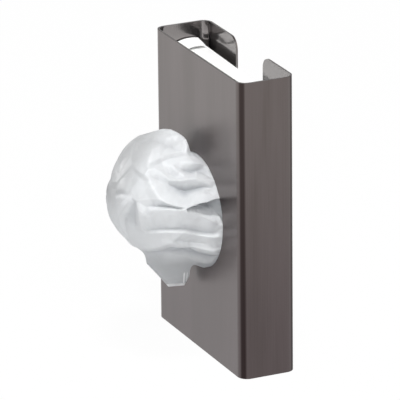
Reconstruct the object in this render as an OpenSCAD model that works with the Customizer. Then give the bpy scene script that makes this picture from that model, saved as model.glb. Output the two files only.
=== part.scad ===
// Wall dispenser for hygiene bags: one folded sheet of dark steel holds a refill carton of folded
// bags, and each bag is drawn out through the round opening in the front.
// The origin is midway between the two wall screws, on the wall face, level with the middle of the
// front opening. +Z is up, +X is to the right of a user who faces the front, and the front faces -Y.

/* [Housing] */
// Width of the housing
housing_w = 98; // [88:1:120]
// Depth of the housing, from the front panel's face to the wall
housing_d = 29; // [26:0.5:45]
// Height of the housing
housing_h = 150; // [136:1:220]
// Thickness of the steel sheet
sheet_t = 1; // [0.8:0.1:1.5]
// Outer radius of the four upright bends
bend_r = 5; // [3:0.5:7]
// Gap between the edges of the two back flanges
flange_gap = 30; // [16:1:34]
// Radius of the flanges' upper inner corners
flange_corner_r = 6; // [2:0.5:12]
// Radius of the flanges' lower inner corners
foot_corner_r = 2; // [0.5:0.5:3]
// Diameter of the round opening in the front panel
opening_d = 57; // [50:1:62]
// Height of the opening's middle above the bottom edge
opening_z = 71.5; // [60:0.5:80]

/* [Refill carton] */
// Thickness of the card
card_t = 0.5; // [0.3:0.1:0.8]
// Outer radius of the carton's upright folds
card_bend_r = 1; // [0.9:0.1:1.5]
// Play between the carton's corners and the inner faces of the housing's bends
corner_play = 0.12; // [0.1:0.02:0.6]
// Room for the screw heads between the carton and the back flanges
screw_gap = 4; // [3:0.25:6]
// Height of the housing's rim above the highest edge of the lid
rim_room = 10.5; // [8:0.5:40]
// How much higher the lid stands at its left end, where a flap props it up
lid_rise = 2.5; // [0.5:0.5:4]
// How far the crown of the left end flap springs up above the lid
flap_crown = 3; // [2:0.5:5]
// Length of the left end flap over the lid
flap_len = 9; // [6:0.5:20]
// Depth of the left end flap, along the carton's depth
flap_d = 19; // [10:0.5:19]
// Radius of the crowned top of the left end flap
flap_r = 20; // [16:1:60]
// Distance of the crown behind the middle of the carton's depth
flap_back = 5; // [0:0.5:6]
// Dip of the flap towards its free edge, in degrees
flap_dip = 8; // [2:1:12]
// Width of card torn away round the housing's opening
tear_margin = 3.5; // [1:0.5:6]

/* [Wall screws] */
// Distance between the two wall screws
screw_pitch = 44; // [42:1:50]
// Diameter of the screw holes
screw_hole_d = 4.5; // [3.5:0.5:6]

/* [Carton shelf] */
// Width of each shelf tab, bent forward from the foot of a back flange
tab_w = 20; // [12:1:22]
// Reach of each shelf tab, from the wall face
tab_len = 21; // [16:1:24]
// Outer radius of the tab's bend
tab_bend_r = 2; // [1.6:0.2:4]
// Width of the relief slot on each side of a tab
relief_w = 1.5; // [1:0.25:2]

/* [Bags] */
// Number of folded bags left in the carton
bag_count = 20; // [5:1:30]
// Gap between the pile of bags and the carton's walls
pile_gap = 0.3; // [0.2:0.1:0.5]
// Room between the pile and the carton's front wall, where the next bag lies opened
opened_room = 3; // [2:0.25:4]

/* [Drawn bag] */
// Gap between the film and the rim of the opening
film_gap = 0.3; // [0.2:0.1:1]
// How far the opened film reaches past the torn-out panel, behind the carton's wall
foot_lap = 4; // [2:0.5:6]
// How far in front of the panel the heart of the puffed film lies
heart_out = 15; // [12:0.5:18]
// Height of the heart above the middle of the opening
heart_up = 5; // [2:0.5:8]
// Shift of the heart to the left
heart_left = 1.5; // [0:0.5:4]
// Width of the puff
puff_w = 61; // [56:1:70]
// Depth of the puff
puff_d = 54; // [46:1:64]
// Height of the puff
puff_h = 60; // [54:1:70]
// Width of the hanging tip, where it leaves the puff
tip_w = 25; // [20:1:36]
// Depth of the hanging tip, where it leaves the puff
tip_d = 27; // [22:1:34]
// Height of the blown form that the hanging tip is cut from
tip_h = 56; // [48:1:64]
// Distance from the heart to the weld across the tip
tip_drop = 40.5; // [36:0.5:44]
// Slope of that weld, down to the left
weld_slope = 22; // [0:1:30]

/* [Hidden] */
$fn = 64;
cut = 1;
bottom_z = -opening_z;
front_y = -housing_d;
shelf_z = bottom_z + sheet_t;
wall_gap = (bend_r - sheet_t - card_bend_r) * (1 - sqrt(0.5)) + corner_play;
carton_front_y = front_y + sheet_t + wall_gap;
carton_back_y = -sheet_t - screw_gap;
carton_w = housing_w - 2 * (sheet_t + wall_gap);
carton_d = carton_back_y - carton_front_y;
carton_h = housing_h - sheet_t - lid_rise - rim_room;
tear_out_d = opening_d + 2 * tear_margin;
flange_flat_w = housing_w / 2 - bend_r - flange_gap / 2;
tab_x = flange_gap / 2 + flange_flat_w / 2;
relief_h = tab_bend_r + sheet_t;
pile_front_y = carton_front_y + card_t + opened_room;
pile_back_y = carton_back_y - card_t - pile_gap;
pile_w = carton_w - 2 * (card_t + pile_gap);
pile_h = carton_h - 4 * card_t - pile_gap;
bag_t = (pile_back_y - pile_front_y) / bag_count;

// A rectangle with round corners, middle at the origin
module rounded_rect(w, d, r) {
    square([w - 2 * r, d], center = true);
    square([w, d - 2 * r], center = true);
    for (x = [-1, 1], y = [-1, 1])
        translate([x * (w / 2 - r), y * (d / 2 - r)]) circle(r);
}

// A tube of sheet with a rounded rectangle for its plan, its back at y = 0
module sheet_tube(w, d, h, r, t) {
    translate([0, -d / 2, 0]) linear_extrude(h) difference() {
        rounded_rect(w, d, r);
        rounded_rect(w - 2 * t, d - 2 * t, r - t);
    }
}

// What the rounding of a corner takes away: the corner is at the origin and the solid lies in +X, -Y
module corner_waste(r, depth) {
    rotate([90, 0, 0]) linear_extrude(depth, center = true) difference() {
        translate([-cut, -r]) square(r + cut);
        translate([r, -r]) circle(r);
    }
}

// The gap between the back flanges, with the flanges' inner corners rounded
module flange_opening() {
    translate([-flange_gap / 2, -sheet_t - cut, bottom_z - cut])
        cube([flange_gap, sheet_t + 2 * cut, housing_h + 2 * cut]);
    for (side = [0, 1]) mirror([side, 0, 0]) {
        translate([flange_gap / 2, -sheet_t / 2, bottom_z + housing_h])
            corner_waste(flange_corner_r, 2 * sheet_t);
        translate([flange_gap / 2, -sheet_t / 2, bottom_z]) mirror([0, 0, 1])
            corner_waste(foot_corner_r, 2 * sheet_t);
    }
}

// Slots that let a tab bend, and the strip of flange that the tab's bend takes the place of
module tab_relief() {
    translate([-tab_w / 2 - relief_w, -sheet_t - cut, bottom_z - cut])
        cube([tab_w + 2 * relief_w, sheet_t + 2 * cut, relief_h + cut]);
}

// A shelf tab, with the bend that joins it to its flange
module shelf_tab() {
    inner_r = tab_bend_r - sheet_t;
    translate([-tab_w / 2, 0, bottom_z]) rotate([90, 0, 90]) linear_extrude(tab_w) {
        translate([-sheet_t, tab_bend_r]) square([sheet_t, relief_h - tab_bend_r]);
        translate([-tab_len, 0]) square([tab_len - tab_bend_r, sheet_t]);
        translate([-tab_bend_r, tab_bend_r]) difference() {
            intersection() {
                circle(tab_bend_r);
                translate([0, -tab_bend_r]) square(tab_bend_r);
            }
            circle(inner_r);
        }
    }
}

module housing() {
    color([0.33, 0.31, 0.31]) union() {
        difference() {
            translate([0, 0, bottom_z]) sheet_tube(housing_w, housing_d, housing_h, bend_r, sheet_t);
            flange_opening();
            for (side = [-1, 1]) {
                translate([side * tab_x, 0, 0]) tab_relief();
                translate([side * screw_pitch / 2, cut, 0]) rotate([90, 0, 0])
                    cylinder(d = screw_hole_d, h = sheet_t + 2 * cut);
            }
            translate([0, front_y - cut, 0]) rotate([-90, 0, 0])
                cylinder(d = opening_d, h = sheet_t + 2 * cut, $fn = 128);
        }
        for (side = [-1, 1]) translate([side * tab_x, 0, 0]) shelf_tab();
    }
}

// All that lies under the carton's sloping lid, lowered by down
module under_lid(down) {
    slope = atan(lid_rise / carton_w);
    translate([carton_w / 2, 0, carton_h - down]) rotate([0, slope, 0])
        translate([-2 * carton_w, -carton_d - cut, -2 * carton_h])
            cube([3 * carton_w, carton_d + 2 * cut, 2 * carton_h]);
}

// The left end flap: it springs up from the carton's end in a crown and lies over the lid
module end_flap() {
    translate([-carton_w / 2, flap_back - carton_d / 2, carton_h + lid_rise]) intersection() {
        translate([0, -flap_back - flap_d / 2, -card_t])
            cube([flap_len, flap_d, card_t + flap_crown + cut]);
        union() {
            translate([0, 0, flap_crown - flap_r]) rotate([0, 90, 0])
                cylinder(r = flap_r, h = card_t);
            translate([0, 0, flap_crown]) rotate([0, flap_dip, 0])
                translate([-cut, 0, -flap_r]) rotate([0, 90, 0]) difference() {
                    cylinder(r = flap_r, h = flap_len + 2 * cut);
                    translate([0, 0, -cut]) cylinder(r = flap_r - card_t, h = flap_len + 4 * cut);
                }
        }
    }
}

module refill_carton() {
    color([0.94, 0.94, 0.93]) translate([0, carton_back_y, shelf_z]) {
        difference() {
            intersection() {
                sheet_tube(carton_w, carton_d, carton_h + lid_rise, card_bend_r, card_t);
                under_lid(0);
            }
            translate([0, -carton_d - cut, -shelf_z]) rotate([-90, 0, 0])
                cylinder(d = tear_out_d, h = card_t + 2 * cut, $fn = 128);
        }
        translate([0, -carton_d / 2, 0]) linear_extrude(card_t)
            rounded_rect(carton_w, carton_d, card_bend_r);
        difference() {
            intersection() {
                translate([0, -carton_d / 2, 0]) linear_extrude(carton_h + lid_rise)
                    rounded_rect(carton_w, carton_d, card_bend_r);
                under_lid(0);
            }
            under_lid(card_t);
        }
        end_flap();
    }
}

// The folded bags stand upright one behind the other, each with round folds at its left and right edges
module bag_pile() {
    pile_d = bag_t * bag_count;
    notch = bag_t / 5;
    color([0.86, 0.88, 0.88]) translate([0, pile_front_y, shelf_z + card_t]) linear_extrude(pile_h) {
        translate([0, pile_d / 2]) square([pile_w - 2 * notch, pile_d - 2 * notch], center = true);
        for (side = [-1, 1], i = [0 : bag_count - 1])
            translate([side * (pile_w - bag_t) / 2, (i + 0.5) * bag_t]) circle(d = bag_t);
        translate([0, pile_d / 2]) square([pile_w - bag_t, pile_d], center = true);
    }
}

// The drawn bag. A direction from its heart is given by an angle round the opening, from +X towards
// +Z, and a share of the way from the outermost point, 0, to the opening's rim, 1.
heart = [-heart_left, front_y - heart_out, heart_up];
neck_r = opening_d / 2 - film_gap;
around = 120;
rings = 26;
panel_gap = 0.5;
rim_share = 0.22;
puff_half = [puff_w, puff_d, puff_h] / 2;
tip_half = [tip_w, tip_d, tip_h] / 2;
lower_half = [22, 17, 17];
weld_normal = [-sin(weld_slope), 0, cos(weld_slope)];
folds = [
    // [depth, half width, route as angle and share], inward where the depth is positive
    [2.6, 2.8, [[84, 0.90], [80, 0.72], [97, 0.60]]],
    [2.2, 2.4, [[76, 0.97], [70, 0.74], [71, 0.50]]],
    [2.8, 2.8, [[60, 0.97], [58, 0.80], [62, 0.66]]],
    [-1.4, 3.0, [[54, 0.90], [52, 0.76], [55, 0.56]]],
    [3.6, 3.4, [[45, 0.98], [42, 0.80], [46, 0.60]]],
    [-2.2, 3.4, [[33, 0.92], [35, 0.74], [44, 0.48]]],
    [11.0, 5.4, [[16, 1.00], [18, 0.90]]],
    [4.5, 3.0, [[19, 0.90], [25, 0.70], [31, 0.42]]],
    [-2.4, 2.2, [[6, 0.94], [18, 0.82], [26, 0.56]]],
    [3.6, 3.6, [[0, 0.96], [4, 0.74], [10, 0.46]]],
    [-2.4, 2.6, [[-11, 0.94], [-4, 0.76], [-6, 0.48]]],
    [4.6, 3.0, [[-33, 1.00], [-25, 0.82], [-23, 0.58]]],
    [-2.0, 2.6, [[-40, 0.94], [-34, 0.76]]],
    [4.0, 3.2, [[-52, 1.00], [-44, 0.78]]],
    [2.4, 3.0, [[50, 0.28], [30, 0.14], [-110, 0.12]]],
    [4.5, 3.6, [[128, 1.00], [136, 0.62]]],
    [5.0, 4.0, [[157, 1.00], [152, 0.56]]],
    [-2.4, 4.0, [[170, 0.94], [168, 0.58]]],
    [6.0, 4.0, [[184, 1.00], [190, 0.60]]],
    [4.5, 3.6, [[208, 1.00], [202, 0.64]]],
    [5.0, 4.0, [[236, 1.00], [228, 0.66]]]
];

function ease(t) = let (k = min(1, max(0, t))) k * k * (3 - 2 * k);
function over(v, a) = [v.x / a.x, v.y / a.y, v.z / a.z];
function rim_point(angle) = [neck_r * cos(angle), front_y, neck_r * sin(angle)];

// Unit direction from the heart at an angle and share
function toward(angle, share) =
    let (rim = rim_point(angle) - heart, unit = rim / norm(rim), out = [0, -1, 0], arc = acos(unit * out))
    (sin((1 - share) * arc) * out + sin(share * arc) * unit) / sin(arc);

// Distance from the heart to an ellipsoid with its middle at c and half axes a
function reach(dir, c, a) =
    let (u = over(dir, a), v = over(c, a), uu = u * u, uv = u * v)
    (uv + sqrt(uv * uv - uu * (v * v - 1))) / uu;

// The smooth form before its folds: the puff and the hanging tip, stopped by the panel and the weld
function smooth_reach(angle, share) =
    let (
        dir = toward(angle, share),
        lobes = [
            reach(dir, [-1, -0.5, 5], puff_half),
            reach(dir, [-1, -0.5, -8], lower_half),
            reach(dir, [-2, 3.5, -20], tip_half)
        ],
        blown = pow(pow(lobes[0], 8) + pow(lobes[1], 8) + pow(lobes[2], 8), 1 / 8),
        by_panel = dir.y > 0.02 ? (heart_out - panel_gap) / dir.y : blown,
        down = -dir * weld_normal,
        by_weld = down > 0.2 ? tip_drop / down : blown,
        near_rim = ease((share - 1 + rim_share) / rim_share)
    )
    min(blown, by_panel, by_weld) * (1 - near_rim) + norm(rim_point(angle) - heart) * near_rim;
function smooth_point(angle, share) = heart + smooth_reach(angle, share) * toward(angle, share);

// How far a point at p lies from the stretch from a to b, and how far along that stretch
function from_stretch(p, a, b) =
    let (t = min(1, max(0, (p - a) * (b - a) / ((b - a) * (b - a))))) norm(p - a - t * (b - a));
routes = [for (f = folds) [for (at = f[2]) smooth_point(at[0], at[1])]];
function fold_depth(i, p) =
    let (
        line = routes[i],
        gap = min([for (k = [1 : len(line) - 1]) from_stretch(p, line[k - 1], line[k])])
    )
    folds[i][0] * exp(-pow(gap / folds[i][1], 2));
function sum_of(list, i = 0) = i < len(list) ? list[i] + sum_of(list, i + 1) : 0;

// The folded form: folds that stand out die away at the rim, where the opening holds the film
function film_point(angle, share) =
    let (
        p = smooth_point(angle, share),
        deep = sum_of([for (i = [0 : len(folds) - 1]) fold_depth(i, p)]),
        held = share > 1 - rim_share ? max(deep, 0) * ease((share - 0.5) / 0.5)
            + min(deep, 0) * (1 - share) / rim_share : deep
    )
    p - held * toward(angle, share);

// Rings of points from the film's opened foot, through the opening, to the outermost point
function ring_angle(i) = i * 360 / around;
function foot_ring(r, y) = [for (i = [0 : around - 1]) [r * cos(ring_angle(i)), y, r * sin(ring_angle(i))]];
function neck_ring(y) =
    [for (i = [0 : around - 1]) let (q = film_point(ring_angle(i), 1)) [q.x, y, q.z]];

module drawn_bag() {
    foot_r = tear_out_d / 2 + foot_lap;
    foot_back_y = pile_front_y - film_gap;
    foot_front_y = carton_front_y + card_t + film_gap;
    loops = concat(
        [foot_ring(foot_r, foot_back_y), foot_ring(foot_r, foot_front_y), neck_ring(foot_front_y)],
        [for (k = [rings : -1 : 1]) [for (i = [0 : around - 1]) film_point(ring_angle(i), k / rings)]]
    );
    points = concat([for (loop = loops) each loop], [[0, foot_back_y, 0], film_point(0, 0)]);
    last = len(loops) - 1;
    back_pole = len(points) - 2;
    front_pole = len(points) - 1;
    faces = concat(
        [for (j = [0 : last - 1], i = [0 : around - 1])
            let (a = j * around + i, b = j * around + (i + 1) % around, c = a + around, d = b + around)
                each [[a, b, c], [b, d, c]]],
        [for (i = [0 : around - 1]) [i, back_pole, (i + 1) % around]],
        [for (i = [0 : around - 1]) [last * around + i, last * around + (i + 1) % around, front_pole]]
    );
    color([0.93, 0.94, 0.95]) polyhedron(points, faces);
}

housing();
refill_carton();
bag_pile();
drawn_bag();
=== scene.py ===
"""Looks of a wall dispenser for hygiene bags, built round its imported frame.

One folded sheet of dark steel holds a white card carton of folded bags, and the first bag puffs out
of the round opening. Sizes are in metres, except the drawn bag's, which are in millimetres. The frame
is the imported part's: the origin is on the wall face, level with the middle of the opening, +Z is up
and the front panel faces -Y.
"""

from __future__ import annotations

import logging
import math
from collections.abc import Callable, Mapping, Sequence
from dataclasses import dataclass, field
from enum import Enum, IntEnum
from functools import reduce
from typing import Any

import bpy
import numpy as np
from mathutils import Matrix, Vector, geometry, noise

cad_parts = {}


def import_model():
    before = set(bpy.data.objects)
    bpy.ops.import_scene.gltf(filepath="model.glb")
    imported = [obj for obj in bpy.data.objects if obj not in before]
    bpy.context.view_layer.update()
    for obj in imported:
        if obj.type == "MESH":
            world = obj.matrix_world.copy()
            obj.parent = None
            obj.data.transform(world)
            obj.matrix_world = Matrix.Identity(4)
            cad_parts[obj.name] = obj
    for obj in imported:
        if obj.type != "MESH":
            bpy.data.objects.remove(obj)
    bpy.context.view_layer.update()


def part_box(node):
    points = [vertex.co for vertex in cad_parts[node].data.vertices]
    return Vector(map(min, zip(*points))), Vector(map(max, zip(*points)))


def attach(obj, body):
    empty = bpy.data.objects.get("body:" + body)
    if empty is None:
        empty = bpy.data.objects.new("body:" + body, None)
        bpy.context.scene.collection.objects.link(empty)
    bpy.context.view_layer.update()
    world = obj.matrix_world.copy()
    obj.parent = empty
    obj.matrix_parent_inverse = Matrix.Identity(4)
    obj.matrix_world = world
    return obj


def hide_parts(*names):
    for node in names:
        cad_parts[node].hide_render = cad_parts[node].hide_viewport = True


LOG = logging.getLogger("dispenser")
MM = 0.001
ROOT = "root"
PHOTO_SIDE_PX = 400
FOLD_DEPTH = "fold_depth"
NO_TINT = (1.0, 1.0, 1.0)
OPAQUE_WHITE = (1.0, 1.0, 1.0, 1.0)
NOISE_MIDDLE = 0.5
TINY = 1e-9
NO_AREA = 1e-12

Triple = tuple[float, float, float]
Span = tuple[float, float]


class Slot(Enum):
    """The record's material slots for the new pieces, which nothing here assigns."""

    FOLDED = "folded_film"
    DRAWN = "drawn_film"


class Node(Enum):
    """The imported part's nodes."""

    HOUSING = "housing"
    CARTON = "refill_carton"
    PILE = "bag_pile"
    DRAWN_BAG = "drawn_bag"


class MixSocket(IntEnum):
    """Numbers of the Mix node's colour sockets."""

    FACTOR = 0
    FIRST = 6
    SECOND = 7
    RESULT = 2


class Field:
    """One output of a shader node. Arithmetic on it adds Math nodes."""

    def __init__(self, graph: NodeGraph, socket: bpy.types.NodeSocket | None) -> None:
        """Wraps a socket.

        Args:
            graph: The graph that the socket's node belongs to.
            socket: The output that is wrapped, or None for a node that has none.
        """
        self.graph = graph
        self.socket = socket

    def _math(self, operation: str, *values: Field | float) -> Field:
        """Adds one Math node.

        Args:
            operation: The node's operation.
            values: Its inputs, in order.

        Returns:
            The node's value.
        """
        return self.graph.add("ShaderNodeMath", {"operation": operation}, dict(enumerate(values)))

    def __add__(self, other: Field | float) -> Field:
        """This value plus another."""
        return self._math("ADD", self, other)

    def __radd__(self, other: float) -> Field:
        """A number plus this value."""
        return self._math("ADD", other, self)

    def __sub__(self, other: Field | float) -> Field:
        """This value less another."""
        return self._math("SUBTRACT", self, other)

    def __rsub__(self, other: float) -> Field:
        """A number less this value."""
        return self._math("SUBTRACT", other, self)

    def __mul__(self, other: Field | float) -> Field:
        """This value times another."""
        return self._math("MULTIPLY", self, other)

    def __rmul__(self, other: float) -> Field:
        """A number times this value."""
        return self._math("MULTIPLY", other, self)

    def __pow__(self, other: float) -> Field:
        """This value to a power."""
        return self._math("POWER", self, other)

    def __abs__(self) -> Field:
        """This value without its sign."""
        return self._math("ABSOLUTE", self)

    def largest(self, other: Field | float) -> Field:
        """The larger of this value and another."""
        return self._math("MAXIMUM", self, other)

    def step(self, low: float, high: float) -> Field:
        """A smooth rise from 0 to 1.

        Args:
            low: The value at which the rise starts.
            high: The value at which it ends.

        Returns:
            The risen value.
        """
        settings = {"interpolation_type": "SMOOTHSTEP"}
        return self.graph.add("ShaderNodeMapRange", settings, {0: self, 1: low, 2: high})


SocketValue = Field | float | Sequence[float] | None


@dataclass(frozen=True)
class Noise:
    """Cloudy noise in object coordinates: features per metre along each axis, and its finer layers."""

    per_metre: Triple
    detail: float
    roughness: float


class NodeGraph:
    """A node tree that is written as expressions."""

    def __init__(self, tree: bpy.types.NodeTree) -> None:
        """Empties a tree.

        Args:
            tree: The tree that is filled.
        """
        self.tree = tree
        tree.nodes.clear()

    def add(
        self,
        kind: str,
        settings: Mapping[str, Any] | None = None,
        sockets: Mapping[int | str, SocketValue] | None = None,
        output: int | str = 0,
    ) -> Field:
        """Adds any node.

        Args:
            kind: The node's type.
            settings: Its properties, set first.
            sockets: Values or links of its inputs, by name or number. None leaves one as it is.
            output: The output that is given back.

        Returns:
            The chosen output.
        """
        node = self.tree.nodes.new(kind)
        for name, value in (settings or {}).items():
            setattr(node, name, value)
        for key, value in (sockets or {}).items():
            if isinstance(value, Field):
                self.tree.links.new(value.socket, node.inputs[key])
            elif value is not None:
                node.inputs[key].default_value = value
        return Field(self, node.outputs[output] if node.outputs else None)

    def vector(self, operation: str, *values: SocketValue, output: int | str = 0) -> Field:
        """Adds one Vector Math node.

        Args:
            operation: The node's operation.
            values: Its inputs, in order.
            output: The output that is given back.

        Returns:
            The chosen output.
        """
        return self.add("ShaderNodeVectorMath", {"operation": operation}, dict(enumerate(values)), output)

    def place(self, scale: Sequence[float] = (1, 1, 1)) -> Field:
        """Object coordinates in metres, stretched by factors along X, Y and Z."""
        return self.vector("MULTIPLY", self.add("ShaderNodeTexCoord", output="Object"), tuple(scale))

    def noise(self, pattern: Noise) -> Field:
        """Adds noise.

        Args:
            pattern: The noise's measures.

        Returns:
            The noise, from 0 to 1.
        """
        sockets = {
            "Vector": self.place(pattern.per_metre),
            "Scale": 1.0,
            "Detail": pattern.detail,
            "Roughness": pattern.roughness,
        }
        return self.add("ShaderNodeTexNoise", None, sockets)

    def mix(self, factor: Field | float, low: Field | Triple, high: Field | Triple) -> Field:
        """Blends two colours.

        Args:
            factor: Share of the second colour.
            low: The first colour.
            high: The second colour.

        Returns:
            The blended colour.
        """
        sockets = {
            MixSocket.FACTOR: factor,
            MixSocket.FIRST: self._opaque(low),
            MixSocket.SECOND: self._opaque(high),
        }
        return self.add("ShaderNodeMix", {"data_type": "RGBA"}, sockets, MixSocket.RESULT)

    def tint(self, colour: Field, share: Field, low: Triple, high: Triple) -> Field:
        """Multiplies a colour by a tint that goes from one to another.

        Args:
            colour: The colour.
            share: How far the tint has gone, from 0 to 1.
            low: The tint where the share is 0.
            high: The tint where the share is 1.

        Returns:
            The tinted colour.
        """
        settings = {"data_type": "RGBA", "blend_type": "MULTIPLY"}
        tint = self.mix(share, low, high)
        sockets = {MixSocket.FACTOR: 1.0, MixSocket.FIRST: colour, MixSocket.SECOND: tint}
        return self.add("ShaderNodeMix", settings, sockets, MixSocket.RESULT)

    def split(self, vector: Field) -> tuple[Field, Field, Field]:
        """A vector's three parts."""
        node = self.add("ShaderNodeSeparateXYZ", None, {0: vector}).socket.node
        return tuple(Field(self, output) for output in node.outputs)

    @staticmethod
    def _opaque(colour: Field | Triple) -> Field | tuple[float, ...]:
        """Gives three numbers a fourth, and leaves a link as it is."""
        return colour if isinstance(colour, Field) else (*colour, 1.0)

    def bump(
        self, height: Field, distance: float, strength: float = 1.0, under: Field | None = None
    ) -> Field:
        """A bump from a height.

        Args:
            height: The height, from 0 to 1.
            distance: Real height of 1, in metres.
            strength: Share of the bump that shows.
            under: A coarser bump that this one lies on.

        Returns:
            The bumped normal.
        """
        sockets = {"Height": height, "Distance": distance, "Strength": strength, "Normal": under}
        return self.add("ShaderNodeBump", None, sockets)

    def finish(self, shader: Field, kind: str = "ShaderNodeOutputMaterial") -> None:
        """Links a shader to the tree's output node, which is of the kind given."""
        self.add(kind, None, {"Surface": shader})


def new_material(name: str, build: Callable[[NodeGraph], Field]) -> bpy.types.Material:
    """Makes a node material.

    Args:
        name: The material's name.
        build: Adds the nodes and gives back the shader.

    Returns:
        The material.
    """
    material = bpy.data.materials.new(name)
    material.use_nodes = True
    graph = NodeGraph(material.node_tree)
    graph.finish(build(graph))
    return material


@dataclass(frozen=True)
class BrushedSteel:
    """Dark satin steel with a fine upright grain, and a smoother face inside the fold."""

    dark: Triple = (0.075, 0.057, 0.049)
    light: Triple = (0.110, 0.089, 0.081)
    inner: Triple = (0.20, 0.186, 0.183)
    # Painted light and shade: the top of the sheet is tinted lighter and the bottom darker.
    painted_top_light_tint: Triple = (1.22, 1.22, 1.28)
    painted_bottom_shade_tint: Triple = (0.80, 0.70, 0.80)
    # Painted shade: the upright bends are tinted darker, standing in for a dark reflection.
    painted_bend_shade_tint: Triple = (0.42, 0.39, 0.39)
    edge_tint: Triple = (0.35, 0.33, 0.33)
    grain: Noise = Noise((2600.0, 2600.0, 26.0), 2.0, 0.6)
    bloom: Noise = Noise((60.0, 60.0, 7.0), 3.0, 0.55)
    grain_share: float = 0.3
    light_span: Span = (0.3, 0.7)
    painted_bend_shade_span: Span = (0.5, 0.95)
    edge_span: Span = (0.3, 0.7)
    roughness: float = 0.42
    inner_roughness: float = 0.08
    grain_swing: float = 0.10
    bloom_swing: float = 0.06
    grain_height: float = 0.000012
    anisotropy: float = 0.80
    coat_roughness: float = 0.34
    coat_ior: float = 1.5
    coat_dimming: float = 0.85
    bend_r: float = 5.0 * MM
    sheet_t: float = 1.0 * MM
    inner_from: float = 0.7
    outer_from: float = 0.3

    def material(self) -> bpy.types.Material:
        """The steel's material."""
        return new_material("dark_brushed_steel", self._shade)

    def _shade(self, graph: NodeGraph) -> Field:
        """Adds the steel's nodes.

        Args:
            graph: The graph that is added to.

        Returns:
            The steel's shader.
        """
        grain = graph.noise(self.grain)
        bloom = graph.noise(self.bloom)
        facing_x, facing_y, facing_z = graph.split(graph.add("ShaderNodeTexCoord", output="Normal"))
        low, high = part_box(Node.HOUSING.value)
        inner = self._inner_face(graph, low, high)
        # 4 x^2 y^2 of the normal is 0 on the flat faces and 1 in the middle of the upright bends, where a
        # dark reflection band is painted as shade.
        painted_bend_shade = (4 * facing_x * facing_x * facing_y * facing_y).step(*self.painted_bend_shade_span) * (1 - inner)
        edge = (facing_z * facing_z).step(*self.edge_span)
        _, _, height = graph.split(graph.place())
        mottle = self.grain_share * grain + (1 - self.grain_share) * bloom
        colour = graph.mix(mottle.step(*self.light_span), self.dark, self.light)
        # Painted light at the top and painted shade at the bottom, by height.
        colour = graph.tint(colour, height.step(low.z, high.z), self.painted_bottom_shade_tint, self.painted_top_light_tint)
        # Painted shade along the upright bends.
        colour = graph.tint(colour, painted_bend_shade, NO_TINT, self.painted_bend_shade_tint)
        colour = graph.mix(inner, colour, self.inner)
        colour = graph.tint(colour, edge, NO_TINT, self.edge_tint)
        swing = self.grain_swing * (grain - NOISE_MIDDLE) + self.bloom_swing * (bloom - NOISE_MIDDLE)
        outer_roughness = self.roughness + swing
        sockets = {
            "Base Color": colour,
            "Metallic": 1.0,
            "Roughness": outer_roughness + inner * (self.inner_roughness - outer_roughness),
            "Anisotropic": self.anisotropy,
            # The coat is dimmed on the bends, as part of their painted shade, and on faces that look up or
            # down.
            "Coat Weight": 1 - self.coat_dimming * painted_bend_shade.largest(edge),
            "Coat Roughness": self.coat_roughness,
            "Coat IOR": self.coat_ior,
            "Normal": graph.bump(grain, self.grain_height),
        }
        return graph.add("ShaderNodeBsdfPrincipled", None, sockets)

    def _inner_face(self, graph: NodeGraph, low: Vector, high: Vector) -> Field:
        """Tells the folded sheet's inside from its outside, by how deep a point lies.

        Args:
            graph: The graph that is added to.
            low: The sheet's lowest corner.
            high: The sheet's highest corner.

        Returns:
            1 on the faces inside the sheet, and 0 on its outside.
        """
        x, y, _ = graph.split(graph.place())
        past = []
        for value, start, end in ((x, low.x, high.x), (y, low.y, high.y)):
            off_middle = abs(value - (start + end) / 2)
            past.append((off_middle - ((end - start) / 2 - self.bend_r)).largest(0.0))
        from_bend = (past[0] * past[0] + past[1] * past[1]) ** 0.5
        deep = self.bend_r - self.inner_from * self.sheet_t
        shallow = self.bend_r - self.outer_from * self.sheet_t
        return 1 - from_bend.step(deep, shallow)


@dataclass(frozen=True)
class CoatedCard:
    """White coated card."""

    white: Triple = (0.88, 0.88, 0.875)
    shade: Triple = (0.83, 0.83, 0.82)
    fibres: Noise = Noise((1800.0, 1800.0, 1800.0), 3.0, 0.6)
    cloud: Noise = Noise((40.0, 40.0, 40.0), 2.0, 0.5)
    fibre_share: float = 0.5
    white_span: Span = (0.35, 0.7)
    roughness: float = 0.5
    fibre_swing: float = 0.1
    fibre_height: float = 0.00003

    def material(self) -> bpy.types.Material:
        """The card's material."""
        return new_material("coated_card", self._shade)

    def _shade(self, graph: NodeGraph) -> Field:
        """Adds the card's nodes.

        Args:
            graph: The graph that is added to.

        Returns:
            The card's shader.
        """
        fibres = graph.noise(self.fibres)
        mottle = self.fibre_share * fibres + (1 - self.fibre_share) * graph.noise(self.cloud)
        sockets = {
            "Base Color": graph.mix(mottle.step(*self.white_span), self.shade, self.white),
            "Roughness": self.roughness + self.fibre_swing * (fibres - NOISE_MIDDLE),
            "Normal": graph.bump(fibres, self.fibre_height),
        }
        return graph.add("ShaderNodeBsdfPrincipled", None, sockets)


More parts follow.
